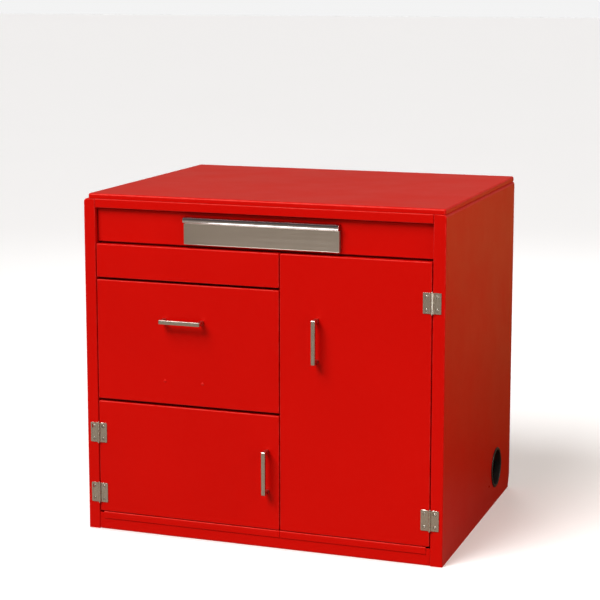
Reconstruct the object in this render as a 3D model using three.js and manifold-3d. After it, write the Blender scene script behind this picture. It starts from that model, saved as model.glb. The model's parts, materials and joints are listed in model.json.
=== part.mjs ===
// Pedestal cabinet of a popcorn cart: folded sheet steel, three drawers and two doors.
// Millimetres. +X is to the right, +Y to the back, +Z up. The origin is on the floor, under the
// middle of the cart with its handles.

import * as THREE from 'three';
import { mergeVertices } from 'three/addons/utils/BufferGeometryUtils.js';
import Module from 'manifold-3d';

const wasm = await Module();
wasm.setup();

// ---------------------------------------------------------------- driving dimensions

const width = 940;
const depth = 728;
const height = 870;

const sheet = 1.5; // steel of the cabinet, doors and drawer fronts
const thin = 1.2; // steel of the drawer boxes and slides
const touch = 0.3; // gap between pieces that rest on each other
const bend = 2.5; // outside radius of a fold
const frontBend = 3.5; // outside radius where a side panel turns into its front post
const arcSteps = 4; // facets of a quarter turn

const stile = 31; // width of each front post
const stileReturn = 40; // how far a post folds back into the cabinet
const rearReturn = 30;
const topCorner = 9; // radius along the top outer edge of the side panels

const lid = { height: 12.7, insetLeft: 12, insetRight: 2, insetFront: 1, corner: 6, edge: 5 };
const topRail = { bottom: 834, topFlange: 22, lowFlange: 16, hem: 10 };
const backPan = { flange: 20 };
const kick = { height: 28, endHeight: 43.5, endWidth: 11, recess: 2, foot: 25 };
const floorPanel = { top: 46.5, lipDrop: 17.5, lipInset: 10.7, rearFlange: 15, fromBack: 22 };

const doorDepth = 18; // thickness of doors and of the flush drawer fronts
const sideGap = 2; // between a door and its post
const seamX = 523.5; // centre seam, from the left side of the cabinet
const seamGap = 2;
const door = { bottom: 48, leftTop: 338.3, rightTop: 743 };

const drawers = {
  top: { bottom: 748, top: 832, recess: 13, boxBottom: 756, boxTop: 822, slideZ: 789 },
  slim: { bottom: 658, top: 743, recess: 0, boxBottom: 666, boxTop: 728, slideZ: 697 },
  deep: { bottom: 345, top: 652, recess: 0, boxBottom: 354, boxTop: 570, slideZ: 440 },
};
const topFrontDepth = 15; // thickness of the top drawer's front
const boxLength = 580;

const slide = { length: 560, height: 35, thickness: 12.7, innerHeight: 24, short: 2.5 };

const post = { web: 513.3, flange: 20, back: 30, behindDoor: 2 }; // centre partition
const bracket = { height: 48, flange: 10 }; // holds the top drawer's right slide
const deck = { top: 745.5, flange: 15 };
const shelf = { top: 342.5, flange: 15 };
const innerStart = 32; // liner, deck and shelf start this far behind the front
const innerEnd = 25; // and end this far from the back

// Bar handle: distance between its legs, leg, bar, width, reach from the door, and corner radii.
const bar = { span: 101.6, leg: 9, deep: 8, wide: 10, reach: 30, corner: 3, inner: 2 };
const handles = {
  right_door: { x: 620, z: 534.5, upright: true },
  left_door: { x: 491, z: 196.5, upright: true },
  deep_drawer: { x: 269, z: 559, upright: false },
};

const pull = { width: 404, offset: 4.5, bottom: 753, top: 821.5, standoff: 12, nose: 8, reach: 9 };
pull.edge = 2; // radius along the lower edge

const hinge = { height: 50.8, halfWidth: 22.4, plate: 1.6, barrel: 3.3, pin: 1.7, knuckles: 5 };
hinge.slack = 0.35; // between knuckles, and between the pin and its bore
hinge.tip = 1.9; // radius of the ball at each end of the pin
hinge.tipOut = 1; // centre of the ball past the end of the leaf
const screw = { inset: 9.5, reach: 13, hole: 2.2, head: 4 }; // in a hinge leaf, from end and pin
const hinges = {
  right_upper: { x: 908, z: 645, side: 1 },
  right_lower: { x: 908, z: 114, side: 1 },
  left_upper: { x: 32, z: 255, side: -1 },
  left_lower: { x: 32, z: 97, side: -1 },
};

const hole = { fromFront: 560, z: 98, radius: 49 };
const grommet = { inner: 46, flange: 54, proud: 3, barrel: 14, soft: 2 };
const rearClip = { run: 16, rise: 42 }; // cut corner at the bottom of the rear edge

const catchSize = { x: 16, y: 26, z: 46 };
const strikeSize = { x: 13, z: 38 };
const catchHeight = { left: 296, right: 700 };

// ---------------------------------------------------------------- places worked out from them

const front = bar.reach - (depth + bar.reach) / 2; // front face of posts and doors
const back = front + depth;
const left = -width / 2;
const right = width / 2;
const x = (fromLeft) => left + fromLeft;
const bodyTop = height - lid.height - touch;
const doorBack = front + doorDepth;
const slideInset = touch + slide.thickness + touch;

// ---------------------------------------------------------------- solids

const toSolid = (geometry) => {
  const bare = geometry.clone();
  bare.deleteAttribute('normal');
  bare.deleteAttribute('uv');
  const merged = mergeVertices(bare, 1e-4);
  return new wasm.Manifold(new wasm.Mesh({
    numProp: 3,
    vertProperties: new Float32Array(merged.attributes.position.array),
    triVerts: new Uint32Array(merged.index.array),
  }));
};

const toGeometry = (solid) => {
  const mesh = solid.getMesh();
  const geometry = new THREE.BufferGeometry();
  geometry.setAttribute('position', new THREE.BufferAttribute(mesh.vertProperties, 3));
  geometry.setIndex(new THREE.BufferAttribute(mesh.triVerts, 1));
  geometry.computeVertexNormals();
  return geometry;
};

const combine = (how) => (first, ...others) => toGeometry(
  others.reduce((solid, other) => solid[how](toSolid(other)), toSolid(first)),
);
const cut = combine('subtract');
const join = combine('add');
const keep = combine('intersect');

const box = (x0, x1, y0, y1, z0, z1) => new THREE.BoxGeometry(x1 - x0, y1 - y0, z1 - z0)
  .translate((x0 + x1) / 2, (y0 + y1) / 2, (z0 + z1) / 2);

// Outlines are drawn in the plane named first and run along the axis named last.
const alongZ = (shape, z0, z1, options = {}) => new THREE.ExtrudeGeometry(shape, {
  depth: z1 - z0, bevelEnabled: false, curveSegments: arcSteps, ...options,
}).translate(0, 0, z0);

const alongX = (shapeYZ, x0, x1) => alongZ(shapeYZ, x0, x1).applyMatrix4(
  new THREE.Matrix4().makeBasis(
    new THREE.Vector3(0, 1, 0), new THREE.Vector3(0, 0, 1), new THREE.Vector3(1, 0, 0),
  ),
);

const alongY = (shapeXZ, y0, y1) => alongZ(shapeXZ, -y1, -y0).rotateX(Math.PI / 2);

// Rectangle with its own radius at each corner: low-low, high-low, high-high, low-high.
const rounded = (u0, u1, v0, v1, radii) => {
  const [a, b, c, d] = radii;
  const shape = new THREE.Shape();
  const corner = (cx, cy, r, start) => {
    if (r > 0) shape.absarc(cx, cy, r, start, start + Math.PI / 2);
    else shape.lineTo(cx, cy);
  };
  shape.moveTo(u0 + a, v0);
  corner(u1 - b, v0 + b, b, -Math.PI / 2);
  corner(u1 - c, v1 - c, c, 0);
  corner(u0 + d, v1 - d, d, Math.PI / 2);
  corner(u0 + a, v0 + a, a, Math.PI);
  return shape;
};

// Cross-section of a strip of sheet folded square at each inner point of its middle line.
const folded = (points, thickness, radius = bend - sheet / 2) => {
  const path = points.map(([u, v]) => new THREE.Vector2(u, v));
  const sides = [1, -1].map((side) => {
    const outline = [];
    path.forEach((point, i) => {
      const before = i > 0 ? point.clone().sub(path[i - 1]).normalize() : null;
      const after = i < path.length - 1 ? path[i + 1].clone().sub(point).normalize() : null;
      if (!before || !after) {
        const run = before || after;
        const across = new THREE.Vector2(-run.y, run.x).multiplyScalar(side * thickness / 2);
        outline.push(point.clone().add(across));
        return;
      }
      const turn = Math.sign(before.cross(after));
      const centre = point.clone().addScaledVector(before, -radius).addScaledVector(after, radius);
      const reach = radius - turn * side * thickness / 2;
      const start = Math.atan2(-turn * before.x, turn * before.y);
      for (let k = 0; k <= arcSteps; k += 1) {
        const angle = start + turn * (Math.PI / 2) * (k / arcSteps);
        outline.push(new THREE.Vector2(
          centre.x + reach * Math.cos(angle), centre.y + reach * Math.sin(angle),
        ));
      }
    });
    return outline;
  });
  return new THREE.Shape([...sides[1], ...sides[0].reverse()]);
};

// Shallow pan with a rounded face towards the front, open at its back.
const pan = (x0, x1, z0, z1, faceY, panDepth) => {
  const block = alongZ(
    rounded(x0 + bend, x1 - bend, -z1 + bend, -z0 - bend, [0, 0, 0, 0]),
    0,
    panDepth + bend,
    { bevelEnabled: true, bevelSize: bend, bevelThickness: bend, bevelSegments: arcSteps },
  );
  block.translate(0, 0, bend).rotateX(-Math.PI / 2).translate(0, faceY, 0);
  const body = keep(block, box(x0 - 1, x1 + 1, faceY - 1, faceY + panDepth, z0 - 1, z1 + 1));
  return cut(body, box(
    x0 + sheet, x1 - sheet, faceY + sheet, faceY + panDepth + 1, z0 + sheet, z1 - sheet,
  ));
};

// ---------------------------------------------------------------- nodes

const cart = new THREE.Group();

const finishes = {
  red: { color: 0xc40a0a, roughness: 0.35, metalness: 0 },
  zinc: { color: 0xa9adb0, roughness: 0.4, metalness: 1 },
  nickel: { color: 0xb8b2a8, roughness: 0.3, metalness: 1 },
  stainless: { color: 0x8f857a, roughness: 0.28, metalness: 1 },
  black: { color: 0x141214, roughness: 0.45, metalness: 0 },
};

const add = (name, geometry, finish) => {
  const mesh = new THREE.Mesh(geometry, new THREE.MeshStandardMaterial(finishes[finish]));
  mesh.name = name;
  cart.add(mesh);
};

// ---------------------------------------------------------------- cabinet

// Side tray: outer skin, front post, rear, top and bottom flanges, all folded inwards.
// Drawn for the right side; the left one is its mirror image.
const sideBlock = (inset) => {
  const outer = right - inset;
  const inner = right - stile + inset;
  const frontView = rounded(inner, outer, inset, bodyTop - inset, [0, 0, topCorner - inset, 0]);
  const planView = rounded(inner, outer, front + inset, back - inset, [
    bend - inset, frontBend - inset, bend - inset, 0,
  ]);
  const slope = Math.atan2(rearClip.rise, rearClip.run);
  const clip = box(inner - 1, outer + 1, 0, 4 * rearClip.rise, -4 * rearClip.rise, 4 * rearClip.rise)
    .rotateX(slope - Math.PI / 2)
    .translate(0, back - rearClip.run - inset * Math.sin(slope), inset * Math.cos(slope));
  return cut(keep(alongY(frontView, front, back), alongZ(planView, 0, bodyTop)), clip);
};

const sideTray = () => {
  const inner = right - stile;
  const mouth = box(
    inner - 1, inner + sheet + 1, front + stileReturn, back - rearReturn, stile, bodyTop - stile,
  );
  return cut(sideBlock(0), sideBlock(sheet), mouth);
};

const mirrored = (geometry) => {
  const flipped = geometry.clone().scale(-1, 1, 1);
  const index = flipped.index.array;
  for (let i = 0; i < index.length; i += 3) {
    [index[i], index[i + 1]] = [index[i + 1], index[i]];
  }
  return flipped;
};

const holeY = front + hole.fromFront;
const holeCutter = new THREE.CylinderGeometry(hole.radius, hole.radius, 20, 40)
  .rotateZ(Math.PI / 2).translate(right, holeY, hole.z);
add('left_side_panel', mirrored(sideTray()), 'red');
add('right_side_panel', cut(sideTray(), holeCutter), 'red');

// Back pan between the rear returns of the sides.
const innerLeft = x(stile) + touch;
const innerRight = x(width - stile) - touch;
const backFlange = back - backPan.flange;
add('back_panel', cut(
  box(innerLeft, innerRight, backFlange, back, touch, bodyTop),
  box(innerLeft + sheet, innerRight - sheet, backFlange - 1, back - sheet, sheet, bodyTop - sheet),
), 'red');

// Lid: a tray turned upside down.
const lidShape = (inset) => rounded(
  x(lid.insetLeft) + inset, x(width - lid.insetRight) - inset,
  front + lid.insetFront + inset, back - inset,
  Array(4).fill(Math.max(lid.corner - inset, 0.5)),
);
const lidSkin = alongZ(lidShape(lid.edge), height - lid.height + lid.edge, height - lid.edge, {
  bevelEnabled: true, bevelSize: lid.edge, bevelThickness: lid.edge, bevelSegments: arcSteps,
});
const lidBlock = join(lidSkin, alongZ(lidShape(0), height - lid.height, height - lid.edge - 1));
add('top_panel', cut(lidBlock, alongZ(lidShape(sheet), height - lid.height - 1, height - sheet)), 'red');

const half = sheet / 2;
const topRailShape = folded([
  [front + topRail.topFlange, bodyTop - half],
  [front + half, bodyTop - half],
  [front + half, topRail.bottom + half],
  [front + topRail.lowFlange, topRail.bottom + half],
  [front + topRail.lowFlange, topRail.bottom + topRail.hem],
], sheet);
add('top_rail', alongX(topRailShape, innerLeft, innerRight), 'red');

// Kick rail: low in the middle, taller at the ends beside the floor lips.
const kickFront = front + kick.recess;
const kickShape = folded([
  [kickFront + half, kick.endHeight],
  [kickFront + half, half],
  [kickFront + kick.foot, half],
], sheet);
const kickGap = box(
  innerLeft + kick.endWidth - touch, innerRight - kick.endWidth + touch,
  kickFront - 1, kickFront + sheet + 1, kick.height, kick.endHeight + 1,
);
add('kick_rail', cut(alongX(kickShape, innerLeft, innerRight), kickGap), 'red');

// Floor of each compartment, with a lip folded down at the front and a flange up at the back.
const floorBack = back - floorPanel.fromBack;
const floorShape = folded([
  [front + half, floorPanel.top - floorPanel.lipDrop],
  [front + half, floorPanel.top - half],
  [floorBack, floorPanel.top - half],
  [floorBack, floorPanel.top + floorPanel.rearFlange],
], sheet);
const floorFor = (x0, x1, lip0, lip1) => {
  const strip = alongX(floorShape, x0, x1);
  const low = floorPanel.top - floorPanel.lipDrop - 1;
  const notch = (a, b) => box(a, b, front - 1, front + stileReturn + 1, low, floorPanel.top + 1);
  const cuts = [];
  if (lip0 > x0) cuts.push(notch(x0 - 1, lip0));
  if (lip1 < x1) cuts.push(notch(lip1, x1 + 1));
  return cut(strip, ...cuts);
};
const seamLeft = x(seamX - seamGap / 4);
const seamRight = x(seamX + seamGap / 4);
add('left_floor_panel', floorFor(
  innerLeft + 1, seamLeft, x(stile + floorPanel.lipInset), seamLeft,
), 'red');
add('right_floor_panel', floorFor(
  seamRight, innerRight - 1, seamRight, x(width - stile - floorPanel.lipInset),
), 'red');

// Centre partition: a web with the post folded at its front edge, standing on the floor panels.
const postFront = doorBack + post.behindDoor;
const webX = x(post.web) + half;
const innerBack = back - innerEnd;
const partitionShape = folded([
  [webX, innerBack],
  [webX, postFront + half],
  [webX + post.flange, postFront + half],
  [webX + post.flange, postFront + post.back],
], sheet);
add('centre_partition', alongZ(
  partitionShape, floorPanel.top + touch, deck.top - sheet - touch,
), 'red');

// Liner on the left side: carries the left slides of all three drawers.
const linerFront = front + innerStart;
const linerFace = innerLeft + sheet;
add('left_liner', box(
  innerLeft, linerFace, linerFront, innerBack, floorPanel.top + touch, bodyTop - sheet - touch,
), 'red');

// Channel on the right side for the top drawer's right slide.
const bracketLow = drawers.top.slideZ - bracket.height / 2;
const bracketHigh = drawers.top.slideZ + bracket.height / 2;
const bracketShape = folded([
  [innerRight - bracket.flange, bracketLow],
  [innerRight - half, bracketLow],
  [innerRight - half, bracketHigh],
  [innerRight - bracket.flange, bracketHigh],
], sheet);
add('right_slide_bracket', alongY(bracketShape, linerFront, innerBack), 'zinc');

// Sheets with flanges folded down on their four sides.
const flangedSheet = (x0, x1, y0, y1, top, flange) => cut(
  box(x0, x1, y0, y1, top - flange, top),
  box(x0 + sheet, x1 - sheet, y0 + sheet, y1 - sheet, top - flange - 1, top - sheet),
);
const webLeft = x(post.web) - touch;
const postSlot = box(
  webLeft - touch, webX + post.flange + half + touch, linerFront - 1, back,
  deck.top - deck.flange - 1, deck.top - sheet,
);
add('drawer_deck', cut(flangedSheet(
  linerFace + touch, innerRight, linerFront, innerBack, deck.top, deck.flange,
), postSlot), 'red');
add('drawer_shelf', flangedSheet(
  linerFace + touch, webLeft, linerFront, innerBack, shelf.top, shelf.flange,
), 'red');

// Grommet in the cord hole.
const grommetProfile = () => {
  const { inner, flange, proud, barrel, soft } = grommet;
  const path = new THREE.Path();
  path.moveTo(inner, -barrel);
  path.lineTo(hole.radius - touch, -barrel);
  path.lineTo(hole.radius - touch, touch);
  path.lineTo(flange, touch);
  path.absarc(flange - proud + touch, touch, proud - touch, 0, Math.PI / 2);
  path.lineTo(inner + soft, proud);
  path.absarc(inner + soft, proud - soft, soft, Math.PI / 2, Math.PI);
  path.closePath();
  return path.getPoints(2);
};
add('cord_grommet', new THREE.LatheGeometry(grommetProfile(), 32)
  .rotateZ(-Math.PI / 2).translate(right, holeY, hole.z), 'black');

// ---------------------------------------------------------------- doors

const doorPlan = {
  left: { x0: x(stile + sideGap), x1: x(seamX - seamGap / 2), top: door.leftTop },
  right: { x0: x(seamX + seamGap / 2), x1: x(width - stile - sideGap), top: door.rightTop },
};

const linerBack = doorBack - 0.5;
for (const [side, { x0, x1, top }] of Object.entries(doorPlan)) {
  const inset = sheet + touch;
  add(`${side}_door_pan`, pan(x0, x1, door.bottom, top, front, doorDepth), 'red');
  add(`${side}_door_liner`, box(
    x0 + inset, x1 - inset, linerBack - sheet, linerBack, door.bottom + inset, top - inset,
  ), 'red');
}

// Magnetic catch on the partition and its strike plate on the door, for each door.
const catchY = linerBack + touch + sheet + touch;
const catchRight = { left: webLeft, right: webX + post.flange + half + touch + catchSize.x };
for (const [side, x1] of Object.entries(catchRight)) {
  const z = catchHeight[side];
  const x0 = x1 - catchSize.x;
  const middle = (x0 + x1) / 2;
  const body = box(x0, x1, catchY, catchY + catchSize.y, z - catchSize.z / 2, z + catchSize.z / 2);
  add(`${side}_door_catch`, body, 'black');
  add(`${side}_door_strike`, box(
    middle - strikeSize.x / 2, middle + strikeSize.x / 2, linerBack + touch, linerBack + touch + sheet,
    z - strikeSize.z / 2, z + strikeSize.z / 2,
  ), 'zinc');
}

// ---------------------------------------------------------------- drawers

const leftBay = [linerFace, x(post.web)];
const fullBay = [linerFace, innerRight - sheet];
const drawerPlan = {
  top: { bay: fullBay, x0: x(stile) + sheet, x1: x(width - stile) - sheet },
  slim: { bay: leftBay, x0: doorPlan.left.x0, x1: doorPlan.left.x1 },
  deep: { bay: leftBay, x0: doorPlan.left.x0, x1: doorPlan.left.x1 },
};

// Slide members have C sections that face each other; side is +1 where the cabinet is on the left.
const slideShapes = (wallX, side, z) => {
  const wall = thin / 2;
  const at = (reach) => wallX + side * reach;
  const h = slide.height / 2 - wall;
  const k = slide.innerHeight / 2 - wall;
  const outerReach = at(slide.thickness - slide.short);
  const innerReach = at(slide.short);
  const innerWeb = at(slide.thickness - wall);
  return {
    outer: folded([
      [outerReach, z + h], [at(wall), z + h], [at(wall), z - h], [outerReach, z - h],
    ], thin, thin),
    inner: folded([
      [innerReach, z + k], [innerWeb, z + k], [innerWeb, z - k], [innerReach, z - k],
    ], thin, thin),
  };
};

for (const [name, size] of Object.entries(drawers)) {
  const { bay, x0, x1 } = drawerPlan[name];
  const face = front + size.recess;
  const panDepth = size.recess > 0 ? topFrontDepth : doorDepth;
  add(`${name}_drawer_front`, pan(x0, x1, size.bottom, size.top, face, panDepth), 'red');

  const boxFront = face + panDepth + touch;
  const boxX0 = bay[0] + slideInset;
  const boxX1 = bay[1] - slideInset;
  add(`${name}_drawer_box`, cut(
    box(boxX0, boxX1, boxFront, boxFront + boxLength, size.boxBottom, size.boxTop),
    box(
      boxX0 + thin, boxX1 - thin, boxFront + thin, boxFront + boxLength - thin,
      size.boxBottom + thin, size.boxTop + 1,
    ),
  ), 'zinc');

  const slideFront = linerFront + sheet;
  for (const [hand, wallX, side] of [['left', bay[0] + touch, 1], ['right', bay[1] - touch, -1]]) {
    const shapes = slideShapes(wallX, side, size.slideZ);
    for (const member of ['outer', 'inner']) {
      add(`${name}_slide_${hand}_${member}`, alongY(
        shapes[member], slideFront, slideFront + slide.length,
      ), 'zinc');
    }
  }
}

// ---------------------------------------------------------------- handles

// Bar handle: a square bar with both ends turned back to the door.
const barHandle = () => {
  const end = (bar.span + bar.leg) / 2;
  const inside = (bar.span - bar.leg) / 2;
  const loop = rounded(-end, end, -bar.reach, -touch, [bar.corner, bar.corner, 0, 0]);
  const gapShape = rounded(-inside, inside, bar.deep - bar.reach, 1, [bar.inner, bar.inner, 0, 0]);
  return cut(alongZ(loop, -bar.wide / 2, bar.wide / 2), alongZ(gapShape, -bar.wide, bar.wide));
};
for (const [name, { x: fromLeft, z, upright }] of Object.entries(handles)) {
  const geometry = barHandle();
  if (upright) geometry.rotateY(Math.PI / 2);
  geometry.translate(x(fromLeft), front, z);
  add(`${name}_handle`, geometry, 'nickel');
}

// Pull plate of the top drawer: a pressed shell with a round nose along its top edge.
const pullFace = front + drawers.top.recess - touch;
const pullShape = (inset) => {
  const shape = new THREE.Shape();
  const plateY = pullFace - pull.standoff + inset;
  const r = pull.nose - inset;
  const noseZ = pull.top - pull.nose;
  const noseY = pullFace - pull.standoff - pull.reach + pull.nose;
  const lower = pull.bottom + inset;
  const rear = inset > 0 ? pullFace + 1 : pullFace;
  const soft = pull.edge;
  shape.moveTo(rear, noseZ + r);
  shape.lineTo(noseY, noseZ + r);
  shape.absarc(noseY, noseZ, r, Math.PI / 2, Math.PI * 1.5);
  shape.lineTo(plateY, noseZ - r);
  shape.lineTo(plateY, lower + soft);
  shape.absarc(plateY + soft, lower + soft, soft, Math.PI, Math.PI * 1.5);
  shape.lineTo(rear, lower);
  return shape;
};
const pullX = x(width / 2) + pull.offset;
const pullHalf = pull.width / 2;
add('top_drawer_pull', cut(
  alongX(pullShape(0), pullX - pullHalf, pullX + pullHalf),
  alongX(pullShape(sheet), pullX - pullHalf + sheet, pullX + pullHalf - sheet),
), 'stainless');

// ---------------------------------------------------------------- hinges

// The pin stands just in front of the doors. Knuckles alternate between frame and door leaves.
const pinY = front - touch - hinge.barrel;
const turned = (radius, z0, z1, segments = 16) => new THREE.CylinderGeometry(
  radius, radius, z1 - z0, segments,
).rotateX(Math.PI / 2).translate(0, 0, (z0 + z1) / 2);

const leaf = (towards, parity) => {
  const low = -hinge.height / 2;
  const pitch = hinge.height / hinge.knuckles;
  const plateBack = hinge.barrel;
  const plate = box(
    Math.min(0, towards * hinge.halfWidth), Math.max(0, towards * hinge.halfWidth),
    plateBack - hinge.plate, plateBack, low, -low,
  );
  const clear = hinge.barrel + hinge.slack;
  const solids = [];
  const gaps = [];
  for (let i = 0; i < hinge.knuckles; i += 1) {
    const z0 = low + i * pitch;
    if (i % 2 === parity) {
      solids.push(turned(hinge.barrel, z0 + hinge.slack / 2, z0 + pitch - hinge.slack / 2));
    } else {
      gaps.push(box(-clear, clear, -clear, clear, z0 - hinge.slack / 2, z0 + pitch + hinge.slack / 2));
    }
  }
  const bore = turned(hinge.pin + hinge.slack, low - 1, 1 - low);
  const screws = [-1, 1].map((end) => {
    const atHeight = end * (hinge.height / 2 - screw.inset);
    return new THREE.CylinderGeometry(screw.hole, screw.head, hinge.plate + 0.4, 12)
      .translate(towards * screw.reach, plateBack - hinge.plate / 2, atHeight);
  });
  return cut(join(cut(plate, ...gaps), ...solids), bore, ...screws);
};

const pinGeometry = () => {
  const end = hinge.height / 2 + hinge.tipOut;
  const neck = Math.acos(hinge.pin / hinge.tip);
  const profile = new THREE.Path();
  profile.moveTo(0, -end - hinge.tip);
  profile.absarc(0, -end, hinge.tip, -Math.PI / 2, neck);
  profile.lineTo(hinge.pin, end - hinge.tip * Math.sin(neck));
  profile.absarc(0, end, hinge.tip, -neck, Math.PI / 2);
  const points = profile.getPoints(2);
  points[0].x = 0;
  points[points.length - 1].x = 0;
  return new THREE.LatheGeometry(points, 12).rotateX(Math.PI / 2);
};

for (const [name, { x: fromLeft, z, side }] of Object.entries(hinges)) {
  const place = (geometry) => geometry.translate(x(fromLeft), pinY, z);
  add(`${name}_frame_leaf`, place(leaf(side, 0)), 'nickel');
  add(`${name}_door_leaf`, place(leaf(-side, 1)), 'nickel');
  add(`${name}_hinge_pin`, place(pinGeometry()), 'nickel');
}

export default cart;
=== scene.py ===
import json
import math

import bmesh
import bpy
from mathutils import Matrix, Vector

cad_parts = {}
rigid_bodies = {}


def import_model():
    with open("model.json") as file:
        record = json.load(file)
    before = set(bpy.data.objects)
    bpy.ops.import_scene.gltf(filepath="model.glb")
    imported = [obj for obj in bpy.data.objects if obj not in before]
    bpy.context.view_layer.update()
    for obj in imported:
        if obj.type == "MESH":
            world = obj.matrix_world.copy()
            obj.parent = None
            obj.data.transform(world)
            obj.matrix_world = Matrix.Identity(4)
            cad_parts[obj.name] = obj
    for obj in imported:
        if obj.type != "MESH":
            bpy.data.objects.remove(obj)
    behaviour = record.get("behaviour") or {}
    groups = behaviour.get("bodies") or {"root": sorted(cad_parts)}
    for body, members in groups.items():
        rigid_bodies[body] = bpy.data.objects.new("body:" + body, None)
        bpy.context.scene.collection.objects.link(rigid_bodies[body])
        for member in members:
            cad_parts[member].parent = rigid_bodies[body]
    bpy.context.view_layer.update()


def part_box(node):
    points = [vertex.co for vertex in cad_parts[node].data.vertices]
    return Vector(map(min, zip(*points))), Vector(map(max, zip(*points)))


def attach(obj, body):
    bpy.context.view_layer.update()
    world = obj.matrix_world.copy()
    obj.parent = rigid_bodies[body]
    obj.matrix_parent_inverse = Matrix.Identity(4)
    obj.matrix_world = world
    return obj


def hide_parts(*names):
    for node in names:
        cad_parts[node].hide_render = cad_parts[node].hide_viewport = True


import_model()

# A pedestal cabinet in folded sheet steel. Metres, +X to the right, +Y to the back, +Z up.

SHEET = 0.0015  # steel of the cabinet, doors and fronts
HALF = SHEET / 2
THIN = 0.0012  # steel of the drawer boxes and slides
BEND = 0.0025  # outside radius of a fold
EASED = 0.00022  # radius left on a cut edge
STEPS = 5  # facets of a quarter turn


# ---------------------------------------------------------------- shader groups

def put(tree, kind, inputs=None, **settings):
    """A node with its settings; each input is a value or another node's output."""
    node = tree.nodes.new(kind)
    for name, value in settings.items():
        setattr(node, name, value)
    for name, value in (inputs or {}).items():
        if isinstance(value, bpy.types.NodeSocket):
            tree.links.new(value, node.inputs[name])
        else:
            node.inputs[name].default_value = value
    return node


def reckon(tree, operation, *values):
    """A sum on values that change over the surface."""
    return put(tree, "ShaderNodeMath", dict(enumerate(values)), operation=operation).outputs[0]


def spread(tree, value, start, end, low=0.0, high=1.0, **settings):
    """Carries a value from the range start-end to the range low-high."""
    return put(tree, "ShaderNodeMapRange", {
        "Value": value, "From Min": start, "From Max": end, "To Min": low, "To Max": high,
    }, **settings).outputs["Result"]


def noise(tree, where, scale, detail, roughness=0.5):
    """Soft noise with so many spots to the metre."""
    return put(tree, "ShaderNodeTexNoise", {
        "Vector": where, "Scale": scale, "Detail": detail, "Roughness": roughness,
    }).outputs["Fac"]


def effect(name, inputs, outputs):
    """An empty shader group with its sockets: returns the group, its inputs and its outputs."""
    tree = bpy.data.node_groups.new(name, "ShaderNodeTree")
    for label, kind, value in inputs:
        socket = tree.interface.new_socket(label, in_out="INPUT", socket_type="NodeSocket" + kind)
        socket.default_value = value
    for label in outputs:
        tree.interface.new_socket(label, in_out="OUTPUT", socket_type="NodeSocketFloat")
    return tree, tree.nodes.new("NodeGroupInput").outputs, tree.nodes.new("NodeGroupOutput").inputs


def make_clouds():
    """Broad soft variation, such as uneven gloss and handling haze."""
    tree, given, out = effect("clouds", [
        ("Coordinates", "Vector", (0, 0, 0)),
        ("Scale", "Float", 4.0),
        ("Low", "Float", 0.0),
        ("High", "Float", 1.0),
    ], ["Mask"])
    cloud = noise(tree, given["Coordinates"], given["Scale"], detail=2.0)
    mask = spread(tree, cloud, 0.2, 0.8, given["Low"], given["High"])
    tree.links.new(mask, out["Mask"])
    return tree


def make_orange_peel():
    """The rounded dimples of a sprayed and baked coat, or of a moulded skin."""
    tree, given, out = effect("orange_peel", [
        ("Coordinates", "Vector", (0, 0, 0)),
        ("Dimples", "Float", 300.0),
        ("Grit", "Float", 0.2),
    ], ["Height"])
    finer = 3.7  # how much finer the grit is than the dimples
    dimples = noise(tree, given["Coordinates"], given["Dimples"], detail=1.0, roughness=0.4)
    grains = reckon(tree, "MULTIPLY", given["Dimples"], finer)
    grit = noise(tree, given["Coordinates"], grains, detail=1.0)
    tree.links.new(reckon(tree, "MULTIPLY_ADD", grit, given["Grit"], dimples), out["Height"])
    return tree


def make_brushed_lines():
    """Fine lines left by a belt, drawn out along the axis whose stretch is small."""
    tree, given, out = effect("brushed_lines", [
        ("Coordinates", "Vector", (0, 0, 0)),
        ("Stretch", "Vector", (0.02, 1, 1)),
        ("Fineness", "Float", 1500.0),
    ], ["Height", "Streak"])
    band_share = 0.12  # fineness of the broad bands against that of the lines
    drawn = put(tree, "ShaderNodeVectorMath", {
        0: given["Coordinates"], 1: given["Stretch"],
    }, operation="MULTIPLY").outputs[0]
    lines = noise(tree, drawn, given["Fineness"], detail=3.0, roughness=0.65)
    broad = reckon(tree, "MULTIPLY", given["Fineness"], band_share)
    bands = noise(tree, drawn, broad, detail=2.0)
    streak = reckon(tree, "MULTIPLY", lines, bands)
    tree.links.new(lines, out["Height"])
    tree.links.new(spread(tree, streak, 0.15, 0.35), out["Streak"])
    return tree


def make_bend_wear():
    """Broken patches along the crests of folds, where a finish is thin and gets rubbed."""
    tree, given, out = effect("bend_wear", [
        ("Coordinates", "Vector", (0, 0, 0)),
        ("Amount", "Float", 0.5),
        ("Patches", "Float", 90.0),
    ], ["Mask"])
    crest = put(tree, "ShaderNodeAttribute", attribute_name="crest").outputs["Fac"]
    spots = noise(tree, given["Coordinates"], given["Patches"], detail=5.0, roughness=0.7)
    patch = spread(tree, spots, 0.4, 0.62, interpolation_type="SMOOTHSTEP")
    rubbed = reckon(tree, "MULTIPLY", crest, patch)
    tree.links.new(reckon(tree, "MULTIPLY", rubbed, given["Amount"]), out["Mask"])
    return tree


CLOUDS = make_clouds()
ORANGE_PEEL = make_orange_peel()
BRUSHED_LINES = make_brushed_lines()
BEND_WEAR = make_bend_wear()


def use(tree, group, **inputs):
    """Places a shader group in a material with its own values."""
    values = {label.capitalize(): value for label, value in inputs.items()}
    return put(tree, "ShaderNodeGroup", values, node_tree=group).outputs


# ---------------------------------------------------------------- materials

def principled(name, **constants):
    """A material, its node tree, its shader's inputs and the object's own coordinates."""
    material = bpy.data.materials.new(name)
    material.use_nodes = True
    tree = material.node_tree
    shader = tree.nodes["Principled BSDF"].inputs
    for label, value in constants.items():
        shader[label.replace("_", " ")].default_value = value
    return material, tree, shader, put(tree, "ShaderNodeTexCoord").outputs["Object"]


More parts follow.
